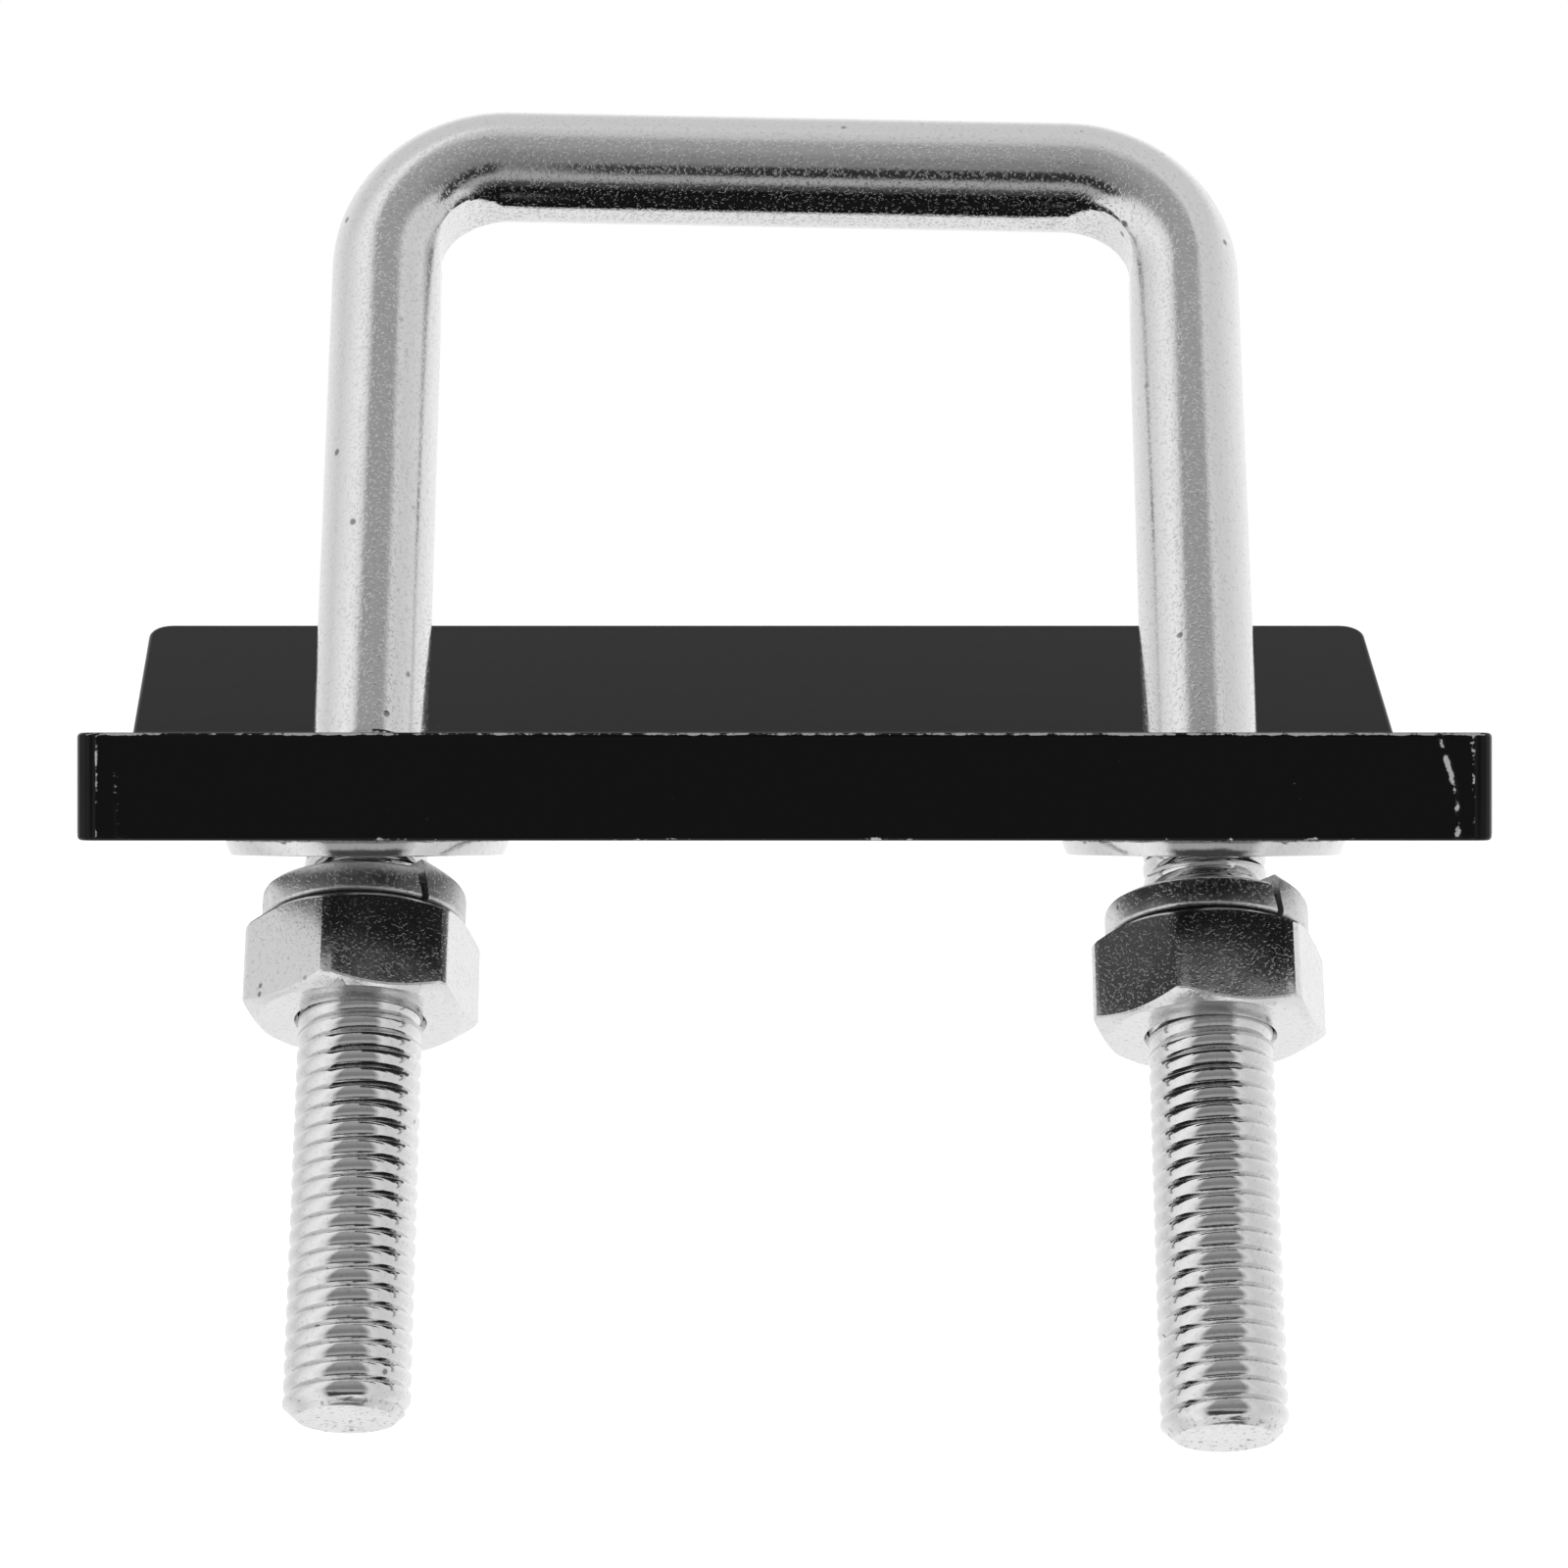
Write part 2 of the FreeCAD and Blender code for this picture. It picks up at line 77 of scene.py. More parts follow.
# Places a piece built upright about the lean axis on the leaning bolt.
ON_BOLT = Matrix.Translation(LEAN_POINT) @ Matrix.Rotation(-LEAN, 4, "X")
SIDES = {"left": -1, "right": 1}
# A face larger than this, in square metres, marks a broad flat of the plate, and faces that
# point the same way, to this cosine, belong to it.
BROAD_FACE = 1e-4
SAME_WAY = 0.99998
# Edges sharper than this are broken before the coat goes on.
CRISP_EDGE = math.radians(40)
# Steps round the plain parts, along a straight run or a bend of the rod, and round a thread.
ROUND_STEPS = 96
ROD_STEPS = 24
TURN_STEPS = 48


# The studio as the bright metal mirrors it: tones by degrees round from the dim end (-Y).
SIDE_TONES = [
    (-180, 1.0), (-137, 0.93), (-104, 0.74), (-80, 0.92), (-58, 1.03), (-40, 0.86),
    (36, 0.86), (62, 0.72), (82, 0.76), (104, 0.87), (140, 1.05), (180, 1.0),
]
# Tones by elevation at the dim end, and how far round that end reaches.
END_TONES = [
    (-90, 1.0), (-58, 1.0), (-50, 0.06), (-36, 0.06), (-31, 0.42), (-15, 0.40), (-7, 0.23),
    (22, 0.26), (38, 0.36), (56, 0.38), (70, 0.66), (90, 0.72),
]
END_WIDTH = [(-180, 0), (-40, 0), (-29, 1), (35, 1), (47, 0), (180, 0)]


def reach_along_legs(node, side=0):
    """Lowest and highest place of a CAD node, measured up the legs from the lean axis."""
    marks = [
        (vertex.co - LEAN_POINT).dot(LEG_AXIS)
        for vertex in frame["nodes"][node].data.vertices
        if vertex.co.x * side >= 0
    ]
    return min(marks), max(marks)


# ---- sizes and colours ----


def millimetres(name, description, value):
    return bpy.props.FloatProperty(
        name=name, description=description, default=value / 1000, unit="LENGTH", precision=5
    )


def degrees(name, description, value):
    return bpy.props.FloatProperty(
        name=name, description=description, default=math.radians(value), subtype="ANGLE"
    )


def plain(name, description, value):
    return bpy.props.FloatProperty(name=name, description=description, default=value)


def hexadecimal(name, description, value):
    return bpy.props.StringProperty(name=name, description=description, default=value)


class BoltSizes(bpy.types.PropertyGroup):
    rod_dia: millimetres("Rod diameter", "Plain rod", 9.4)
    bend_radius: millimetres("Bend radius", "Of the rod's centreline", 10)
    bar_height: millimetres("Bar height", "Bar centreline above the lean axis, left leg", 58.4)
    bar_drop: millimetres("Bar drop", "How much lower the right leg sits", 1.5)
    press_flat: millimetres("Press flat", "Flattening along the inside of the bar", 0.13)
    bend_flat: millimetres("Bend flat", "Flattening inside each bend", 0.85)
    flat_fade: millimetres("Flat fade", "How far the flat runs out down a leg", 6)
    thread_dia: millimetres("Thread diameter", "Major diameter", 10)
    pitch: millimetres("Thread pitch", "Coarse pitch", 1.5)
    thread_depth: millimetres("Thread depth", "Crest to root, filled a little by plating", 0.62)
    thread_length: millimetres("Thread length", "From the leg's end", 56.6)
    run_out: millimetres("Run-out", "Where the thread fades into the plain rod", 2.2)
    end_chamfer: millimetres("End chamfer", "Lead-in on each leg", 1.1)


class PlateSizes(bpy.types.PropertyGroup):
    length: millimetres("Length", "Along the holes", 108.8)
    thickness: millimetres("Thickness", "Flat bar", 8.3)
    bend_line: millimetres("Bend line", "Hole row to where the flange turns up", 21.3)
    flange_angle: degrees("Flange angle", "How far the back is bent up", 29)
    flange_rise: millimetres("Flange rise", "Flange's upper edge above the web", 10.4)
    bend_radius: millimetres("Bend radius", "Inside the plate's bend", 5)
    front_corner: millimetres("Front corner", "Ground upright corners", 1.6)
    flange_corner: millimetres("Flange corner", "Corners of the free edge", 2)
    end_skew: degrees("End skew", "Sawn ends out of square", 2.3)
    hole_dia: millimetres("Hole diameter", "Oversize hole", 15.69)
    edge_break: millimetres("Edge break", "Rounding of every other edge", 0.34)
    end_zone: millimetres("End zone", "Length at each end that the saw and press marked", 8)
    cut_spacing: millimetres("Mark spacing", "Fineness of the marked ends", 0.16)
    ridge_height: millimetres("Ridge height", "Saw burrs on the ends", 0.2)
    dip_depth: millimetres("Dip depth", "Slight dip near the flange's left corner", 0.62)


class FixingSizes(bpy.types.PropertyGroup):
    washer_dia: millimetres("Flat washer outside", "Outside diameter", 23)
    washer_bore: millimetres("Flat washer bore", "Bore", 13.51)
    lock_dia: millimetres("Lock washer outside", "Outside diameter", 16.4)
    lock_bore: millimetres("Lock washer bore", "Bore", 10.3)
    lock_thickness: millimetres("Lock washer section", "Thickness", 2.5)
    lock_rise: millimetres("Lock washer rise", "How far its ends stand apart", 0.4)
    lock_split: degrees("Lock washer split", "Angle cut out", 4)
    lock_spring: millimetres("Lock washer spring", "How far the free end springs up", 0.85)
    lock_slant: plain("Lock washer slant", "Of its cut, radians per metre of height", -35)
    lock_stand: millimetres("Lock washer stand", "How far the coil stands off the nut", 0.2)
    lock_turn: degrees("Lock washer turn", "Where its split faces, from sideways", -46)
    nut_flats: millimetres("Nut across flats", "Spanner size", 17)
    nut_height: millimetres("Nut height", "Height", 8)
    nut_left_turn: degrees("Left nut turn", "From a corner facing sideways", 17)
    nut_right_turn: degrees("Right nut turn", "From a corner facing sideways", 11.7)


class Finishes(bpy.types.PropertyGroup):
    zinc: hexadecimal("Zinc plate", "Bright zinc", "#E4E4E4")
    zinc_dull: hexadecimal("Zinc, dull spots", "Where the plate is thin or pitted", "#8C8C8C")
    enamel: hexadecimal("Black enamel", "Plate", "#0F0F0F")
    # Light grey of the worn coat, also laid along the plate's edges and burr crests as a painted
    # highlight.
    bare_and_highlit: hexadecimal("Rubbed enamel", "Scuffed down to the grey primer", "#ABABAB")
    rod_roughness: plain("Rod roughness", "Bright rolled rod", 0.13)
    nut_roughness: plain("Nut roughness", "Forged and plated", 0.17)


class StageSizes(bpy.types.PropertyGroup):
    camera_distance: plain("Camera distance", "From the hole row, metres", 0.4003)
    camera_side: plain("Camera side", "To the right of the middle, metres", -0.0001)
    camera_height: plain("Camera height", "Above the plate's top, metres", -0.00395)
    lens: plain("Lens", "Millimetres on a 36 mm sensor", 112.5)
    floor_drop: plain("Floor drop", "Floor below the lowest point, metres", 0.012)
    card_ahead: millimetres("Card ahead", "Dark card in front of the holes", 60)
    card_across: millimetres("Card across", "Its middle, to the right", 26)
    card_height: millimetres("Card height", "Its middle", 38)
    card_width: millimetres("Card width", "Its width", 100)
    card_depth: millimetres("Card depth", "Its height", 30)


# ---- mesh helpers ----


def loop_of(geom):
    """The vertices and the ring of edges that an extrusion or spin gave last."""
    verts = [g for g in geom if isinstance(g, bmesh.types.BMVert)]
    known = set(verts)
    edges = {e for v in verts for e in v.link_edges if e.other_vert(v) in known}
    return verts, list(edges)


def ring_stack(bm, segments, rings):
    """A closed ring-shaped solid. Each ring is a function from angle to (radius, height)."""

    def place(verts, ring):
        for vert in verts:
            angle = math.atan2(vert.co.y, vert.co.x)
            radius, height = ring(angle)
            vert.co = Vector((radius * math.cos(angle), radius * math.sin(angle), height))

    made = bmesh.ops.create_circle(bm, segments=segments, radius=1)
    first, first_edges = loop_of(made["verts"])
    edges = first_edges
    place(first, rings[0])
    for ring in rings[1:]:
        made = bmesh.ops.extrude_edge_only(bm, edges=edges)
        verts, edges = loop_of(made["geom"])
        place(verts, ring)
    bmesh.ops.bridge_loops(bm, edges=edges + first_edges)


def at(radius, height):
    return lambda angle: (radius, height)


def push(bm, edges, travel, steps):
    """Extrudes a ring of edges in equal steps and returns the last ring."""
    for _ in range(steps):
        made = bmesh.ops.extrude_edge_only(bm, edges=edges)
        verts, edges = loop_of(made["geom"])
        bmesh.ops.translate(bm, verts=verts, vec=travel / steps)
    return edges


def bend_round(bm, edges, centre, angle, steps):
    """Sweeps a ring of edges round a bend about the row's Y direction."""
    verts = {v for e in edges for v in e.verts}
    made = bmesh.ops.spin(
        bm, geom=list(verts) + list(edges), cent=centre, axis=(0, 1, 0),
        angle=angle, steps=steps, use_duplicate=False,
    )
    return loop_of(made["geom_last"])[1]


def screw(bm, geom, pitch, turns, steps=TURN_STEPS):
    """Winds an upright profile up the Z axis: one turn is spun, then stacked by doubling."""
    bmesh.ops.spin(
        bm, geom=geom, cent=(0, 0, 0), axis=(0, 0, 1), dvec=(0, 0, pitch / steps),
        angle=2 * math.pi, steps=steps, use_duplicate=False,
    )
    wound = 1
    while wound < turns:
        made = bmesh.ops.duplicate(bm, geom=bm.verts[:] + bm.edges[:] + bm.faces[:])
        copied = [g for g in made["geom"] if isinstance(g, bmesh.types.BMVert)]
        bmesh.ops.translate(bm, verts=copied, vec=(0, 0, wound * pitch))
        wound *= 2
    bmesh.ops.remove_doubles(bm, verts=bm.verts, dist=2e-6)


def trim(bm, height, keep_above):
    """Cuts a mesh level at a height and returns the cut's edges."""
    made = bmesh.ops.bisect_plane(
        bm, geom=bm.verts[:] + bm.edges[:] + bm.faces[:], dist=1e-7,
        plane_co=(0, 0, height), plane_no=(0, 0, 1),
        clear_outer=not keep_above, clear_inner=keep_above,
    )
    return [g for g in made["geom_cut"] if isinstance(g, bmesh.types.BMEdge)]


def make_piece(name, bm, materials, body, nodes, matrix=None, *, sharp):
    """Turns a bmesh into a finished piece that rides on a CAD body."""
    if matrix is not None:
        bmesh.ops.transform(bm, matrix=matrix, verts=bm.verts)
    bmesh.ops.recalc_face_normals(bm, faces=bm.faces)
    for face in bm.faces:
        face.smooth = True
    flats = [face.normal.copy() for face in bm.faces if face.calc_area() > BROAD_FACE]
    broad = {
        face for face in bm.faces if any(face.normal.dot(flat) > SAME_WAY for flat in flats)
    }
    for edge in bm.edges:
        if len(edge.link_faces) == 2:
            edge.smooth = edge.calc_face_angle(0) < math.radians(sharp)
            # A broad flat keeps its own normal up to its border.
            if len(broad.intersection(edge.link_faces)) == 1:
                edge.smooth = False
    mesh = bpy.data.meshes.new(name)
    bm.to_mesh(mesh)
    bm.free()
    piece = bpy.data.objects.new(name, mesh)
    bpy.context.scene.collection.objects.link(piece)
    for material in materials:
        mesh.materials.append(material)
    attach(piece, body)
    if nodes:
        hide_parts(*nodes)
    return piece


# ---- materials ----


def linear(code):
    """An sRGB hex colour as linear RGBA."""
    channels = [int(code[k:k + 2], 16) / 255 for k in (1, 3, 5)]
    return [c / 12.92 if c <= 0.04045 else ((c + 0.055) / 1.055) ** 2.4 for c in channels] + [1]


def add_node(tree, kind, inputs=None, **settings):
    """Adds a node; an input is a constant or another node's output."""
    made = tree.nodes.new(kind)
    for name, value in settings.items():
        setattr(made, name, value)
    for name, value in (inputs or {}).items():
        if isinstance(value, bpy.types.NodeSocket):
            tree.links.new(value, made.inputs[name])
        else:
            made.inputs[name].default_value = value
    return made


def start_material(name):
    """A material with its tree emptied, and its tree, output and object coordinates."""
    material = bpy.data.materials.new(name)
    material.use_nodes = True
    tree = material.node_tree
    tree.nodes.clear()
    output = add_node(tree, "ShaderNodeOutputMaterial")
    place = add_node(tree, "ShaderNodeTexCoord").outputs["Object"]
    return material, tree, output, place


def ramp(tree, value, low, high, out_low=0.0, out_high=1.0):
    return add_node(
        tree, "ShaderNodeMapRange",
        {"Value": value, 1: low, 2: high, 3: out_low, 4: out_high},
        interpolation_type="SMOOTHSTEP",
    ).outputs[0]


def tone_ramp(tree, angle, span, stops):
    """Tones against an angle that runs from -span to span degrees."""
    spread = add_node(
        tree, "ShaderNodeMath",
        {0: angle, 1: 0.5 / math.radians(span), 2: 0.5}, operation="MULTIPLY_ADD",
    ).outputs[0]
    scale = add_node(tree, "ShaderNodeValToRGB", {0: spread})
    marks = scale.color_ramp.elements
    for _ in range(len(stops) - 2):
        marks.new(0.5)
    for mark, (degrees_at, tone) in zip(marks, stops):
        mark.position = degrees_at / span / 2 + 0.5
        mark.color = (tone, tone, tone, 1)
    return scale.outputs[0]


def per_mm(size):
    """Texture scale whose features repeat about every size millimetres."""
    return 1000 / size


def zinc_plate(name, roughness, grain, pits, relief, grain_mm, pit_mm, sparkle=0.0):
    """Bright zinc electroplate on steel: mirror-like but speckled, because the crystals and
    the rolled skin below break each reflection's edge, with dull pin-head pits."""
    looks = bpy.context.scene.clamp_finishes
    material, tree, output, place = start_material(name)
    mapped = add_node(
        tree, "ShaderNodeMapping", {"Vector": place, "Rotation": (LEAN, 0, 0)}
    ).outputs[0]
    speckle = add_node(
        tree, "ShaderNodeTexNoise",
        {"Vector": mapped, "Scale": per_mm(grain_mm), "Detail": 4.0, "Roughness": 0.62},
    ).outputs[0]
    cloud = add_node(
        tree, "ShaderNodeTexNoise", {"Vector": mapped, "Scale": per_mm(4.5), "Detail": 3.0}
    ).outputs[0]
    cells = add_node(
        tree, "ShaderNodeTexVoronoi",
        {"Vector": place, "Scale": per_mm(pit_mm), "Randomness": 1.0},
    )
    chosen = add_node(tree, "ShaderNodeSeparateColor", {0: cells.outputs["Color"]}).outputs[0]
    near = ramp(tree, cells.outputs["Distance"], 0.10, 0.24, 1.0, 0.0)
    some = ramp(tree, chosen, 1 - pits, 1 - pits * 0.6)
    pit = add_node(tree, "ShaderNodeMath", {0: near, 1: some}, operation="MULTIPLY").outputs[0]
    dulled = ramp(tree, speckle, 0.52, 0.72, 0.0, grain)
    spoiled = add_node(
        tree, "ShaderNodeMath", {0: dulled, 1: pit}, operation="MAXIMUM"
    ).outputs[0]
    colour = add_node(
        tree, "ShaderNodeMix",
        {"Factor": spoiled, "A": linear(looks.zinc), "B": linear(looks.zinc_dull)},
        data_type="RGBA",
    )
    rough = ramp(tree, cloud, 0.3, 0.7, roughness * 0.75, roughness * 1.3)
    crystal = add_node(
        tree, "ShaderNodeTexNoise",
        {"Vector": mapped, "Scale": per_mm(0.26), "Detail": 2.0, "Roughness": 0.5},
    ).outputs[0]
    facets = add_node(
        tree, "ShaderNodeMath", {0: ramp(tree, crystal, 0.56, 0.66), 1: sparkle, 2: speckle},
        operation="MULTIPLY_ADD",
    ).outputs[0]
    height = add_node(
        tree, "ShaderNodeMath", {0: pit, 1: -1.6, 2: facets}, operation="MULTIPLY_ADD"
    ).outputs[0]
    bump = add_node(
        tree, "ShaderNodeBump", {"Strength": 1.0, "Distance": relief / 1000, "Height": height}
    )
    surface = add_node(
        tree, "ShaderNodeBsdfPrincipled",
        {"Base Color": colour.outputs["Result"], "Metallic": 1.0, "Roughness": rough,
         "Normal": bump.outputs[0]},
    )
    tree.links.new(surface.outputs[0], output.inputs[0])
    return material


def black_enamel(name):
    """Black enamel, stoved over rolled steel: a deep gloss with a faint orange peel, painted
    light grey where the piece's own mask attribute rises, along its edges and saw burrs: partly
    worn coat, partly a painted highlight where those edges would catch the light."""
    looks = bpy.context.scene.clamp_finishes
    material, tree, output, place = start_material(name)
    peel = add_node(
        tree, "ShaderNodeTexNoise",
        {"Vector": place, "Scale": per_mm(1.6), "Detail": 2.0},
    ).outputs[0]
    nick = add_node(
        tree, "ShaderNodeTexNoise",
        {"Vector": place, "Scale": per_mm(0.9), "Detail": 5.0, "Roughness": 0.7},
    ).outputs[0]
    patch = add_node(
        tree, "ShaderNodeTexNoise", {"Vector": place, "Scale": per_mm(7.0), "Detail": 1.0}
    ).outputs[0]
    joined = add_node(
        tree, "ShaderNodeMath", {0: patch, 1: 0.45, 2: nick}, operation="MULTIPLY_ADD"
    ).outputs[0]
    # The piece's own mask: worn coat and painted highlight along the edges and burrs.
    worn_and_highlit = add_node(tree, "ShaderNodeAttribute", attribute_name="worn_and_highlit").outputs["Fac"]
    handled_and_highlit = add_node(
        tree, "ShaderNodeMath", {0: worn_and_highlit, 1: 0.42, 2: joined}, operation="MULTIPLY_ADD"
    ).outputs[0]
    # Past 1 the enamel turns light grey: worn spots, and a painted highlight on the edges.
    bare_and_highlit = ramp(tree, handled_and_highlit, 1.0, 1.1)
    colour = add_node(
        tree, "ShaderNodeMix",
        {"Factor": bare_and_highlit, "A": linear(looks.enamel), "B": linear(looks.bare_and_highlit)},
        data_type="RGBA",
    )
    gloss = ramp(tree, nick, 0.35, 0.75, 0.13, 0.24)
    scuff = add_node(
        tree, "ShaderNodeMath", {0: bare_and_highlit, 1: 0.35, 2: gloss}, operation="MULTIPLY_ADD"
    ).outputs[0]
    height = add_node(
        tree, "ShaderNodeMath", {0: bare_and_highlit, 1: -3.0, 2: peel}, operation="MULTIPLY_ADD"
    ).outputs[0]
    bump = add_node(
        tree, "ShaderNodeBump", {"Strength": 1.0, "Distance": 0.00001, "Height": height}
    )
    surface = add_node(
        tree, "ShaderNodeBsdfPrincipled",
        {"Base Color": colour.outputs["Result"], "Metallic": 0.0, "Roughness": scuff,
         "Normal": bump.outputs[0], "IOR": 1.5, "Specular IOR Level": 0.12},
    )
    tree.links.new(surface.outputs[0], output.inputs[0])
    return material


# ---- operators, one for each piece or group of like pieces ----


class CLAMP_OT_plate(bpy.types.Operator):
    """Builds the black bent clamp plate with its two oversize holes"""

    bl_idname = "clamp.plate"
    bl_label = "Clamp plate"

    def execute(self, context):
        s = context.scene.clamp_plate
        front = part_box("clamp_plate")[0].y
        rise = s.flange_rise
        reach = s.bend_line + rise / math.tan(s.flange_angle)
        back = reach + s.thickness * math.sin(s.flange_angle)
        under = rise - s.thickness * math.cos(s.flange_angle)
        heel = s.bend_line + s.thickness * math.tan(s.flange_angle / 2)
        bm = bmesh.new()
        outline = [
            (front, -s.thickness), (heel, -s.thickness), (back, under),
            (reach, rise), (s.bend_line, 0), (front, 0),
        ]
        corners = [bm.verts.new((-s.length / 2, y, z)) for y, z in outline]
        face = bm.faces.new(corners)
        made = bmesh.ops.extrude_face_region(bm, geom=[face])
        moved = [g for g in made["geom"] if isinstance(g, bmesh.types.BMVert)]
        bmesh.ops.translate(bm, verts=moved, vec=(s.length, 0, 0))
        for vert in bm.verts:
            vert.co.x -= (vert.co.y - front) * math.tan(s.end_skew)

        def bevel(chosen, offset, segments):
            edges = [e for e in bm.edges if chosen(e)]
            if not edges:
                raise RuntimeError("the plate has lost an edge to round")
            bmesh.ops.bevel(
                bm, geom=edges, offset=offset, offset_type="OFFSET", segments=segments,
                profile=0.5, affect="EDGES", material=-1, clamp_overlap=True,
            )

        def lengthwise(edge, y, z):
            return all((v.co.yz - Vector((y, z))).length < 1e-6 for v in edge.verts)

        half_turn = math.tan(s.flange_angle / 2)
        bevel(lambda e: lengthwise(e, s.bend_line, 0), s.bend_radius * half_turn, 10)
        bevel(
            lambda e: lengthwise(e, heel, -s.thickness),
            (s.bend_radius + s.thickness) * half_turn, 12,
        )
        bevel(
            lambda e: e.verts[0].co.x * e.verts[1].co.x > 0
            and all(abs(v.co.y - front) < 1e-6 for v in e.verts),
            s.front_corner, 5,
        )
        bevel(
            lambda e: e.verts[0].co.x * e.verts[1].co.x > 0
            and {round(v.co.z, 5) for v in e.verts} == {round(rise, 5), round(under, 5)},
            s.flange_corner, 6,
        )
        crisp = [e for e in bm.edges if e.calc_face_angle(0) > CRISP_EDGE]
        bmesh.ops.bevel(
            bm, geom=crisp, offset=s.edge_break, offset_type="OFFSET", segments=3,
            profile=0.5, affect="EDGES", material=-1, clamp_overlap=True,
        )
        self.mark_ends(s, bm, front, Vector((0, reach, rise)))
        mesh = bpy.data.meshes.new("plate_blank")
        bmesh.ops.recalc_face_normals(bm, faces=bm.faces)
        bm.to_mesh(mesh)
        bm.free()
        blank = bpy.data.objects.new("plate_blank", mesh)
        context.scene.collection.objects.link(blank)
        drill = bmesh.new()
        drill_length = 0.05
        for side in SIDES.values():
            bmesh.ops.create_cone(
                drill, cap_ends=True, segments=ROUND_STEPS, radius1=s.hole_dia / 2,
                radius2=s.hole_dia / 2, depth=drill_length,
                matrix=Matrix.Translation((side * HALF_SPACING, 0, 0)),
            )
        drill_mesh = bpy.data.meshes.new("plate_drill")
        drill.to_mesh(drill_mesh)
        drill.free()
        tool = bpy.data.objects.new("plate_drill", drill_mesh)
        context.scene.collection.objects.link(tool)
        cut = blank.modifiers.new("holes", "BOOLEAN")
        cut.object = tool
        cut.operation = "DIFFERENCE"
        cut.solver = "EXACT"
        context.view_layer.update()
        drilled = blank.evaluated_get(context.evaluated_depsgraph_get()).to_mesh()
        bm = bmesh.new()
        bm.from_mesh(drilled)
        bpy.data.objects.remove(blank)
        bpy.data.objects.remove(tool)
        bmesh.ops.remove_doubles(bm, verts=bm.verts, dist=1e-6)
        rims = [
            e for e in bm.edges
            if all(abs(abs(v.co.x) - HALF_SPACING) < s.hole_dia for v in e.verts)
            and all(abs(v.co.y) < s.hole_dia for v in e.verts)
            and len(e.link_faces) == 2 and e.calc_face_angle(0) > CRISP_EDGE
        ]
        bmesh.ops.bevel(
            bm, geom=rims, offset=s.edge_break, offset_type="OFFSET", segments=3,
            profile=0.5, affect="EDGES", material=-1, clamp_overlap=False,
        )
        self.mark_wear_and_highlight(s, bm, front)
        make_piece(
            "clamp_plate_bent_bar", bm, [black_enamel("black_enamel")], "clamp_plate",
            ["clamp_plate"], sharp=50,
        )
        return {"FINISHED"}

    def mark_wear_and_highlight(self, s, bm, front):
        """Notes where the coat is painted light grey, partly as worn coat and partly as a
        painted
        highlight: along the top front edge, less along the lower one, and on the crests of the
        burrs."""
        on_top, underneath, on_burrs = 0.8, 0.35, 1.25
        # Just short of the edge's whole rounding, so that the flats beside it stay whole.
        rounding = s.edge_break * 0.9
        worn_and_highlit = bm.verts.layers.float.new("worn_and_highlit")
        for vert in bm.verts:
            ahead = vert.co.y - front
            if ahead < rounding and vert.co.z > -rounding:
                vert[worn_and_highlit] = on_top
            elif ahead < rounding and vert.co.z < rounding - s.thickness:
                vert[worn_and_highlit] = underneath
            # The burr crests are painted light grey, partly as worn coat, partly as a painted
            # highlight where they catch the light.
            elif ahead < 1e-5 and abs(vert.co.x) > s.length / 2 - s.end_zone:
                vert[worn_and_highlit] = min(1.0, on_burrs * self.burr(s, vert.co))

    def burr(self, s, co):
        """How tall the saw burrs stand on the front face, from 0 to about 1."""
        down = -co.z / s.thickness
        from_end = s.length / 2 - abs(co.x)
        curl = math.sin(math.pi / 2 * min(1, down * 1.15))
        half_width = 0.28e-3
        # Each burr: how far in from the end it runs, and its share of the full height.
        if co.x > 0:
            lines = [(4.4e-3 - 1.5e-3 * curl, 1.0), (1.7e-3, 0.75)]
        else:
            lines = [(1.55e-3, 0.8), (2.9e-3 + 0.5e-3 * down, 0.9 * max(0, down - 0.4) ** 0.3)]
        tall = 0
        for place, share in lines:
            uneven = 0.75 + 0.6 * noise.noise(Vector((place * 900, co.z * 900, 5)))
            tall += share * uneven * math.exp(-(((from_end - place) / half_width) ** 2))
        return tall

    def mark_ends(self, s, bm, front, lip):
        """Saw burrs down the front face near both ends, and a slight dip in the outermost
        line of the flange's free edge."""
        dip_at, dip_width = -53.9e-3, 1.25e-3
        half = s.length / 2
        count = int(s.end_zone / s.cut_spacing)
        for step in range(1, count):
            for side in (-1, 1):
                bmesh.ops.bisect_plane(
                    bm, geom=bm.verts[:] + bm.edges[:] + bm.faces[:], dist=1e-7,
                    plane_co=(side * (half - step * s.cut_spacing), 0, 0),
                    plane_no=(1, 0, 0),
                )
        ends = half - s.end_zone - s.cut_spacing
        for step in range(1, int(s.thickness / s.cut_spacing)):
            faces = [
                f for f in bm.faces
                if f.normal.y < -0.99 and abs(f.calc_center_median().x) > ends
            ]
            edges = {e for f in faces for e in f.edges}
            verts = {v for f in faces for v in f.verts}
            bmesh.ops.bisect_plane(
                bm, geom=list(verts) + list(edges) + faces, dist=1e-7,
                plane_co=(0, 0, -step * s.cut_spacing), plane_no=(0, 0, 1),
            )
            bm.normal_update()
        along = Vector((0, math.cos(s.flange_angle), math.sin(s.flange_angle)))
        for vert in bm.verts:
            co = vert.co
            down = -co.z / s.thickness
            if co.y < front + 1e-5 and 0.02 < down < 0.98 and abs(co.x) > ends:
                co.y -= s.ridge_height * self.burr(s, co)
            past = (co - lip).dot(along)
            if past > -1e-4:
                dip = math.exp(-(((co.x - dip_at) / dip_width) ** 2))
                vert.co = co - along * s.dip_depth * dip


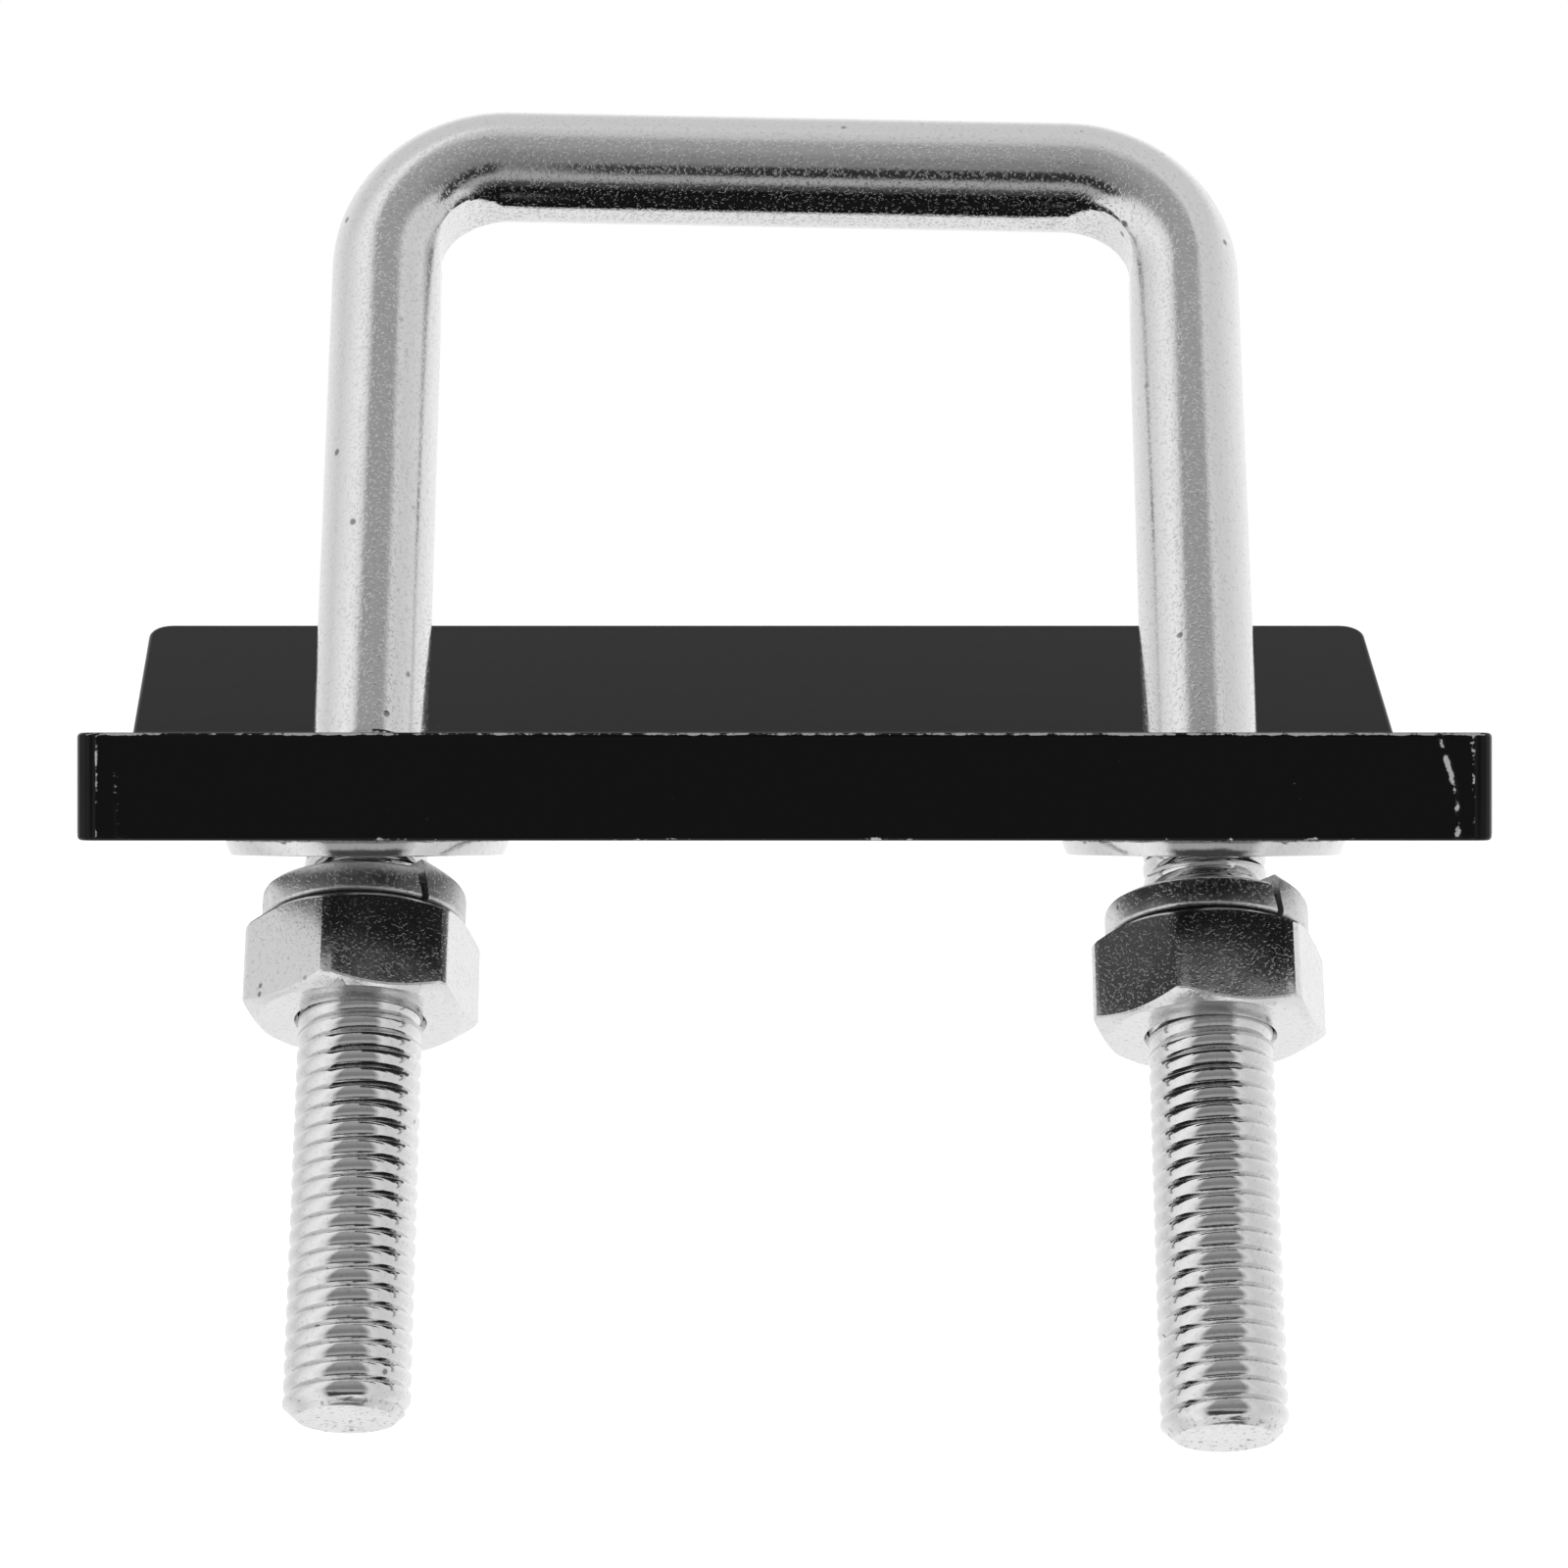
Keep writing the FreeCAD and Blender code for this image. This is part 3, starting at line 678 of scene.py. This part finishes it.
class CLAMP_OT_rod(bpy.types.Operator):
    """Builds the bent rod and the rolled threads on its two legs"""

    bl_idname = "clamp.rod"
    bl_label = "U-bolt"

    def execute(self, context):
        s = context.scene.clamp_bolt
        slope = math.atan2(s.bar_drop, 2 * HALF_SPACING)
        legs_low = reach_along_legs("u_bolt")[0]
        ends = {"left": legs_low + s.bar_drop, "right": legs_low}
        tops = {word: end + s.thread_length for word, end in ends.items()}

        def bend_centre(across):
            fall = (across + HALF_SPACING) * math.tan(slope) + s.bend_radius / math.cos(slope)
            return Vector((across, 0, s.bar_height - fall))

        left_bend = bend_centre(-HALF_SPACING + s.bend_radius)
        right_bend = bend_centre(HALF_SPACING - s.bend_radius)
        bm = bmesh.new()
        start = tops["left"] - s.run_out / 2
        made = bmesh.ops.create_circle(
            bm, segments=ROUND_STEPS, radius=s.rod_dia / 2,
            matrix=Matrix.Translation((-HALF_SPACING, 0, start)),
        )
        edges = loop_of(made["verts"])[1]
        edges = push(bm, edges, Vector((0, 0, left_bend.z - start)), ROD_STEPS)
        edges = bend_round(bm, edges, left_bend, math.pi / 2 + slope, ROD_STEPS)
        run = right_bend - left_bend
        edges = push(bm, edges, run, ROD_STEPS)
        edges = bend_round(bm, edges, right_bend, math.pi / 2 - slope, ROD_STEPS)
        finish = tops["right"] - s.run_out / 2
        push(bm, edges, Vector((0, 0, finish - right_bend.z)), ROD_STEPS)
        bmesh.ops.holes_fill(bm, edges=[e for e in bm.edges if e.is_boundary])
        for vert in bm.verts:
            self.flatten(s, vert, left_bend, right_bend, slope)
        make_piece(
            "u_bolt_bent_rod", bm,
            [zinc_plate("bright_zinc_rod", context.scene.clamp_finishes.rod_roughness,
                        0.22, 0.10, 0.012, 0.34, 1.7, sparkle=1.1)],
            "u_bolt", ["u_bolt"], ON_BOLT, sharp=11,
        )
        thread_zinc = [
            zinc_plate("bright_zinc_thread", 0.06, 0.3, 0.08, 0.004, 0.3, 1.4),
            zinc_plate("dull_zinc_thread_root", 0.22, 0.9, 0.3, 0.008, 0.4, 1.2),
        ]
        for word, side in SIDES.items():
            self.thread(s, word, side, ends[word], tops[word], thread_zinc)
        return {"FINISHED"}

    def flatten(self, s, vert, left_bend, right_bend, slope):
        """The press leaves a flat along the inside of the bar, deepest in the two bends."""
        co = vert.co
        left = co.x < 0
        bend = left_bend if left else right_bend
        outward = -1 if left else 1
        across = (co.x - bend.x) * outward
        up = co.z - bend.z
        radius = s.rod_dia / 2
        if across > 0 and up > 0:
            inward = s.bend_radius - math.hypot(across, up)
            swing = math.atan2(up, across)
            depth = s.press_flat + (s.bend_flat - s.press_flat) * math.sin(2 * swing)
            inner = -Vector((across * outward, up)).normalized()
        elif across <= 0:
            line = s.bar_height - (co.x + HALF_SPACING) * math.tan(slope)
            inward = (line - co.z) * math.cos(slope)
            depth = s.press_flat
            inner = Vector((0, -1))
        else:
            inward = HALF_SPACING - abs(co.x)
            depth = s.press_flat * math.exp(-((up / s.flat_fade) ** 2))
            inner = Vector((-outward, 0))
        over = max(0.0, inward - (radius - depth))
        co.x -= inner.x * over
        co.z -= inner.y * over

    def thread(self, s, word, side, end, top, materials):
        """A rolled thread: one pitch of the form, screwed up the leg and trimmed to length."""
        crest = s.thread_dia / 2
        root = crest - s.thread_depth
        # Faces whose middle is this near the root belong to the groove.
        root_band = 0.16e-3
        # One pitch from root to root: radius, and height in pitches. The flank that faces down
        # rises at about 45 degrees and rounds into the crest; the other one is steep.
        form = [
            (root, -0.04), (root, 0.0), (crest - 0.44e-3, 0.08), (crest - 0.12e-3, 0.295),
            (crest - 0.02e-3, 0.48), (crest, 0.6), (crest, 0.80), (crest - 0.03e-3, 0.85),
            (root, 0.96),
        ]
        bm = bmesh.new()
        turns_below = math.ceil(-end / s.pitch) + 2
        start = -turns_below * s.pitch
        verts = [bm.verts.new((radius, 0, start + z * s.pitch)) for radius, z in form]
        edges = [bm.edges.new(pair) for pair in zip(verts, verts[1:])]
        screw(bm, verts + edges, s.pitch, (top - start) / s.pitch + 2)
        for vert in bm.verts:
            radius = math.hypot(vert.co.x, vert.co.y)
            lead = crest - s.end_chamfer + max(0.0, vert.co.z - end) * 1.15
            wanted = min(radius, max(lead, crest - s.end_chamfer))
            fade = min(1.0, max(0.0, (vert.co.z - top + s.run_out) / s.run_out))
            fade = fade * fade * (3 - 2 * fade)
            wanted += (s.rod_dia / 2 + 0.02e-3 - wanted) * fade
            scale = wanted / radius
            vert.co.x *= scale
            vert.co.y *= scale
        # Faces in the groove take the rougher zinc, more often speckled darker than the flanks.
        for face in bm.faces:
            middle = face.calc_center_median()
            deep = math.hypot(middle.x, middle.y) < root + root_band
            face.material_index = 1 if deep else 0
        bmesh.ops.edgenet_fill(bm, edges=trim(bm, top, keep_above=False))
        cap = bmesh.ops.edgenet_fill(bm, edges=trim(bm, end, keep_above=True))["faces"]
        # The cropped end is slightly dished: each ring's width and how far it sinks.
        for border, rise in ((0.35e-3, 0.0), (0.7e-3, 0.12e-3), (1.2e-3, 0.1e-3)):
            bmesh.ops.inset_region(bm, faces=cap, thickness=border, depth=0)
            dish = {v for f in cap for v in f.verts}
            bmesh.ops.translate(bm, verts=list(dish), vec=(0, 0, rise))
        make_piece(
            f"u_bolt_thread_{word}", bm, materials, "u_bolt", [],
            ON_BOLT @ Matrix.Translation((side * HALF_SPACING, 0, 0)), sharp=42,
        )


class CLAMP_OT_flat_washers(bpy.types.Operator):
    """Builds the two stamped flat washers under the plate"""

    bl_idname = "clamp.flat_washers"
    bl_label = "Flat washers"

    def execute(self, context):
        s = context.scene.clamp_fixings
        metal = [
            zinc_plate("bright_zinc_stamping", 0.1, 0.25, 0.08, 0.006, 0.4, 1.5),
            # The second zinc, for the band along the top rim under the plate, is rough and
            # speckled dark: the sheared edge, and painted shade from the plate.
            zinc_plate("rough_zinc_edge_and_painted_shade", 0.4, 1.0, 0.5, 0.05, 0.3, 0.9, sparkle=1),
        ]
        for word, side in SIDES.items():
            node = f"flat_washer_{word}"
            low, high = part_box(node)
            centre = (low + high) / 2
            outer, inner = s.washer_dia / 2, s.washer_bore / 2
            top, bottom = high.z, low.z
            # The sheared edge narrows downwards, as the punch left it.
            draw = 0.4 * (top - bottom - 0.64e-3)
            mid = (top + bottom) / 2

            def ragged(radius, depth, height, lift, seed):
                """A sheared edge whose broken face wanders in and out."""

                def ring(angle):
                    spot = Vector((math.cos(angle), math.sin(angle), 0)) * 9
                    rough = noise.noise(spot * 2 + Vector((0, 0, seed)))
                    slow = noise.noise(spot * 0.6 + Vector((0, 0, seed + 7)))
                    return radius - depth * abs(rough + 0.4 * slow), height + lift * rough
                return ring

            def burnished(height, inset):
                """The punch leaves upright streaks round the sheared edge."""

                def ring(angle):
                    spot = Vector((math.cos(angle), math.sin(angle), side)) * 11
                    return outer - inset - 0.02e-3 * (1 + noise.noise(spot)), height
                return ring

            rings = [
                at(inner + 0.12e-3, top), at(outer - 0.22e-3, top),
                ragged(outer - 0.02e-3, 0.10e-3, top - 0.02e-3, 0.02e-3, side),
                ragged(outer, 0.10e-3, top - 0.22e-3, 0.09e-3, side + 3),
                burnished(top - 0.42e-3, 0), burnished(bottom + 0.22e-3, draw),
                burnished(bottom + 0.07e-3, draw + 0.06e-3), at(outer - draw - 0.25e-3, bottom),
                at(inner + 0.3e-3, bottom), at(inner + 0.06e-3, bottom + 0.1e-3),
                at(inner, mid), at(inner, top - 0.1e-3),
            ]
            bm = bmesh.new()
            ring_stack(bm, 144, rings)
            # The band along the top rim, under the plate, takes the rough dark zinc: partly the
            # sheared edge, partly painted shade cast by the plate.
            for face in bm.faces:
                middle = face.calc_center_median()
                sheared_and_shaded = middle.z > top - 0.3e-3 and middle.xy.length > outer - 0.35e-3
                face.material_index = 1 if sheared_and_shaded else 0
            make_piece(
                f"flat_washer_{word}_stamping", bm, metal, node, [node],
                Matrix.Translation((centre.x, centre.y, 0)), sharp=28,
            )
        return {"FINISHED"}


class CLAMP_OT_lock_washers(bpy.types.Operator):
    """Builds the two split spring lock washers"""

    bl_idname = "clamp.lock_washers"
    bl_label = "Lock washers"

    def execute(self, context):
        s = context.scene.clamp_fixings
        metal = zinc_plate("bright_zinc_spring", 0.34, 0.4, 0.1, 0.016, 0.45, 1.4, sparkle=1)
        for word, side in SIDES.items():
            node = f"lock_washer_{word}"
            base = reach_along_legs(node)[0]
            inner, outer, thick = s.lock_bore / 2, s.lock_dia / 2, s.lock_thickness
            bm = bmesh.new()
            corner, bore_land = 0.32e-3, 0.2e-3
            # A rectangular section with its two outer corners rounded.
            round_off = [
                (math.sin(math.radians(step)), 1 - math.cos(math.radians(step)))
                for step in (0, 22, 45, 68, 90)
            ]
            section = [(inner, 0), (inner + bore_land, 0)] + [
                (outer - corner + corner * out, corner * rise) for out, rise in round_off
            ] + [
                (outer - corner + corner * out, thick - corner * rise)
                for out, rise in reversed(round_off)
            ] + [(inner + bore_land, thick), (inner, thick)]
            verts = [bm.verts.new((r, 0, base + z)) for r, z in section]
            face = bm.faces.new(verts)
            sweep = 2 * math.pi - s.lock_split
            bmesh.ops.spin(
                bm, geom=[face] + list(face.edges) + verts, cent=(0, 0, 0), axis=(0, 0, 1),
                dvec=(0, 0, s.lock_rise * sweep / (2 * math.pi) / ROUND_STEPS),
                angle=sweep, steps=ROUND_STEPS, use_duplicate=False,
            )
            # The coil stands nearly level, and one of its ends is sprung up at the split.
            for vert in bm.verts:
                round_by = math.atan2(vert.co.y, vert.co.x) % (2 * math.pi) / sweep
                round_by = 0.0 if round_by > 1.01 else round_by
                level = (vert.co.z - base) / thick
                sprung = s.lock_spring * level * (1 - round_by) ** 12
                slant = (vert.co.z - base) * s.lock_slant
                vert.co = Matrix.Rotation(slant, 3, "Z") @ vert.co
                vert.co.z += s.lock_stand + sprung - s.lock_rise * round_by
            turn = Matrix.Rotation(s.lock_turn, 4, "Z")
            make_piece(
                f"lock_washer_{word}_coil", bm, [metal], "lock_washers",
                [node],
                ON_BOLT @ Matrix.Translation((side * HALF_SPACING, 0, 0)) @ turn, sharp=30,
            )
        return {"FINISHED"}


class CLAMP_OT_nuts(bpy.types.Operator):
    """Builds the two chamfered hex nuts with their inside threads"""

    bl_idname = "clamp.nuts"
    bl_label = "Hex nuts"

    def execute(self, context):
        s = context.scene.clamp_fixings
        bolt = context.scene.clamp_bolt
        metal = zinc_plate(
            "bright_zinc_forging", context.scene.clamp_finishes.nut_roughness,
            0.3, 0.10, 0.008, 0.4, 1.3, sparkle=1.0,
        )
        # The turned end face stops just inside the flats, and the crown falls away from it.
        face_radius = 0.475 * s.nut_flats
        crown_slope = math.tan(math.radians(28))
        corner_wear = 0.22e-3
        mouth_clear, bore_clear, mouth_depth = 0.3e-3, 0.05e-3, 0.5e-3
        for word, side in SIDES.items():
            node = f"nut_{word}"
            top = reach_along_legs(node)[1]
            bottom = top - s.nut_height
            turn = s.nut_left_turn if side < 0 else s.nut_right_turn

            def hexagon(angle, inset=0.0, turn=turn):
                """The hex outline, with its six corners softened."""
                local = (angle - turn) % (math.pi / 3) - math.pi / 6
                flat = s.nut_flats / 2 / math.cos(local)
                limit = s.nut_flats / 2 / math.cos(math.pi / 6) - corner_wear
                return min(flat, limit) - inset

            def crown(angle, end, sign, inset):
                radius = hexagon(angle, inset)
                fall = (radius - face_radius) * crown_slope
                return radius, end - sign * fall

            mouth = bolt.thread_dia / 2 + mouth_clear
            bore = bolt.thread_dia / 2 + bore_clear
            rings = [
                at(mouth, top), at(face_radius - 0.2e-3, top),
                at(face_radius + 0.1e-3, top - 0.04e-3),
                lambda a: crown(a, top - 0.02e-3, 1, 0.10e-3),
                lambda a: (hexagon(a), crown(a, top - 0.02e-3, 1, 0)[1] - 0.12e-3),
                lambda a: (hexagon(a), crown(a, bottom + 0.02e-3, -1, 0)[1] + 0.12e-3),
                lambda a: crown(a, bottom + 0.02e-3, -1, 0.10e-3),
                at(face_radius + 0.1e-3, bottom + 0.04e-3), at(face_radius - 0.2e-3, bottom),
                at(mouth, bottom), at(bore, bottom + mouth_depth), at(bore, top - mouth_depth),
            ]
            bm = bmesh.new()
            ring_stack(bm, 144, rings)
            # The inside thread is a ridge that lies in the bolt's groove.
            root, deep = bolt.thread_dia / 2 - 0.5e-3, bore + 0.05e-3
            first = math.ceil((bottom + 0.55 * bolt.pitch) / bolt.pitch) * bolt.pitch
            turns = math.floor((top - 0.55 * bolt.pitch - first) / bolt.pitch)
            wide = 0.2 * bolt.pitch
            slim = 0.03 * bolt.pitch
            section = [(deep, -wide), (root, -slim), (root, slim), (deep, wide)]
            verts = [bm.verts.new((r, 0, first + z)) for r, z in section]
            ridge = bm.faces.new(verts)
            bmesh.ops.spin(
                bm, geom=[ridge] + list(ridge.edges) + verts, cent=(0, 0, 0), axis=(0, 0, 1),
                dvec=(0, 0, bolt.pitch / TURN_STEPS), angle=turns * 2 * math.pi,
                steps=turns * TURN_STEPS,
                use_duplicate=False,
            )
            make_piece(
                f"nut_{word}_forging", bm, [metal], node, [node],
                ON_BOLT @ Matrix.Translation((side * HALF_SPACING, 0, 0)), sharp=22,
            )
        return {"FINISHED"}


class CLAMP_OT_stage(bpy.types.Operator):
    """Sets the pale floor, the soft studio light and the camera"""

    bl_idname = "clamp.stage"
    bl_label = "Stage"

    def execute(self, context):
        s = context.scene.clamp_stage
        scene = context.scene
        bm = bmesh.new()
        floor_radius = 6
        bmesh.ops.create_circle(bm, cap_ends=True, segments=ROUND_STEPS, radius=floor_radius)
        mesh = bpy.data.meshes.new("floor")
        bm.to_mesh(mesh)
        bm.free()
        floor = bpy.data.objects.new("floor", mesh)
        floor.location = (0, 0, CAD_BOX[0].z - s.floor_drop)
        scene.collection.objects.link(floor)
        material, tree, output, _place = start_material("pale_floor")
        # Lit paper: it glows a little, so that only the deepest contact shade shows on it.
        paper = add_node(
            tree, "ShaderNodeBsdfPrincipled",
            {"Base Color": linear("#F6F6F6"), "Roughness": 0.9, "Specular IOR Level": 0.1,
             "Emission Color": (1, 1, 1, 1), "Emission Strength": 0.62},
        )
        tree.links.new(paper.outputs[0], output.inputs[0])
        mesh.materials.append(material)
        floor.visible_glossy = False

        bm = bmesh.new()
        bmesh.ops.create_grid(
            bm, x_segments=1, y_segments=1, size=0.5,
            matrix=Matrix.Translation((s.card_across, -s.card_ahead, s.card_height))
            @ Matrix.Rotation(math.pi / 2, 4, "X")
            @ Matrix.Diagonal((s.card_width, s.card_depth, 1, 1)),
        )
        mesh = bpy.data.meshes.new("dark_card")
        bm.to_mesh(mesh)
        bm.free()
        card = bpy.data.objects.new("dark_card", mesh)
        scene.collection.objects.link(card)
        material, tree, output, _place = start_material("black_card")
        # A dark card ahead of the bolt. Only reflections see it, and it darkens the nuts' flats.
        black = add_node(
            tree, "ShaderNodeEmission", {"Color": linear("#FFFFFF"), "Strength": 0.03}
        )
        tree.links.new(black.outputs[0], output.inputs[0])
        mesh.materials.append(material)
        card.visible_camera = False
        card.visible_diffuse = False
        card.visible_shadow = False

        world = bpy.data.worlds.new("studio")
        world.use_nodes = True
        scene.world = world
        tree = world.node_tree
        tree.nodes.clear()
        sky = add_node(tree, "ShaderNodeTexCoord").outputs["Generated"]
        parts = add_node(tree, "ShaderNodeSeparateXYZ", {0: sky})
        ahead = add_node(
            tree, "ShaderNodeMath", {0: parts.outputs["Y"], 1: -1.0}, operation="MULTIPLY"
        ).outputs[0]
        around = add_node(
            tree, "ShaderNodeMath", {0: parts.outputs["X"], 1: ahead}, operation="ARCTAN2"
        ).outputs[0]
        upward = add_node(
            tree, "ShaderNodeMath", {0: parts.outputs["Z"]}, operation="ARCSINE"
        ).outputs[0]
        sides = tone_ramp(tree, around, 180, SIDE_TONES)
        end = tone_ramp(tree, upward, 90, END_TONES)
        facing = tone_ramp(tree, around, 180, END_WIDTH)
        room = add_node(
            tree, "ShaderNodeMix", {"Factor": facing, "A": sides, "B": end}, data_type="FLOAT"
        ).outputs[0]
        # Overhead and behind, one even tone, which the flange mirrors.
        overhead = ramp(tree, parts.outputs["Z"], 0.45, 0.75)
        behind = ramp(tree, parts.outputs["Y"], -0.2, 0.1)
        over = add_node(
            tree, "ShaderNodeMath", {0: overhead, 1: behind}, operation="MULTIPLY"
        ).outputs[0]
        lidded = add_node(
            tree, "ShaderNodeMix", {"Factor": over, "A": room, "B": 0.72}, data_type="FLOAT"
        ).outputs[0]
        seen = add_node(tree, "ShaderNodeLightPath").outputs["Is Camera Ray"]
        strength = add_node(
            tree, "ShaderNodeMath", {0: lidded, 1: seen}, operation="MAXIMUM"
        ).outputs[0]
        light = add_node(
            tree, "ShaderNodeBackground", {"Color": (1, 1, 1, 1), "Strength": strength}
        )
        output = add_node(tree, "ShaderNodeOutputWorld")
        tree.links.new(light.outputs[0], output.inputs[0])

        scene.view_settings.view_transform = "Standard"
        camera = bpy.data.cameras.new("camera")
        camera.lens = s.lens
        camera.sensor_width = 36
        camera.clip_start = 0.01
        eye = bpy.data.objects.new("camera", camera)
        eye.location = (s.camera_side, -s.camera_distance, s.camera_height)
        eye.rotation_euler = (math.pi / 2, 0, 0)
        scene.collection.objects.link(eye)
        scene.camera = eye
        return {"FINISHED"}


class CLAMP_PT_panel(bpy.types.Panel):
    """Lists the pieces of the clamp and their sizes"""

    bl_label = "U-bolt clamp"
    bl_space_type = "VIEW_3D"
    bl_region_type = "UI"
    bl_category = "U-bolt clamp"

    def draw(self, context):
        layout = self.layout
        for operator, group in PIECES:
            box = layout.box()
            box.operator(operator)
            sizes = getattr(context.scene, group)
            for name in sizes.__annotations__:
                box.prop(sizes, name)


PIECES = [
    ("clamp.plate", "clamp_plate"),
    ("clamp.rod", "clamp_bolt"),
    ("clamp.flat_washers", "clamp_fixings"),
    ("clamp.lock_washers", "clamp_fixings"),
    ("clamp.nuts", "clamp_fixings"),
    ("clamp.stage", "clamp_stage"),
]
GROUPS = {
    "clamp_bolt": BoltSizes,
    "clamp_plate": PlateSizes,
    "clamp_fixings": FixingSizes,
    "clamp_finishes": Finishes,
    "clamp_stage": StageSizes,
}
OPERATORS = (
    CLAMP_OT_plate, CLAMP_OT_rod, CLAMP_OT_flat_washers, CLAMP_OT_lock_washers,
    CLAMP_OT_nuts, CLAMP_OT_stage,
)


def register():
    for name, group in GROUPS.items():
        bpy.utils.register_class(group)
        setattr(bpy.types.Scene, name, bpy.props.PointerProperty(type=group))
    for operator in OPERATORS:
        bpy.utils.register_class(operator)
    bpy.utils.register_class(CLAMP_PT_panel)


def unregister():
    bpy.utils.unregister_class(CLAMP_PT_panel)
    for operator in reversed(OPERATORS):
        bpy.utils.unregister_class(operator)
    for name, group in reversed(GROUPS.items()):
        delattr(bpy.types.Scene, name)
        bpy.utils.unregister_class(group)


def main():
    register()
    bpy.ops.clamp.plate()
    bpy.ops.clamp.rod()
    bpy.ops.clamp.flat_washers()
    bpy.ops.clamp.lock_washers()
    bpy.ops.clamp.nuts()
    bpy.ops.clamp.stage()


if __name__ == "__main__":
    main()
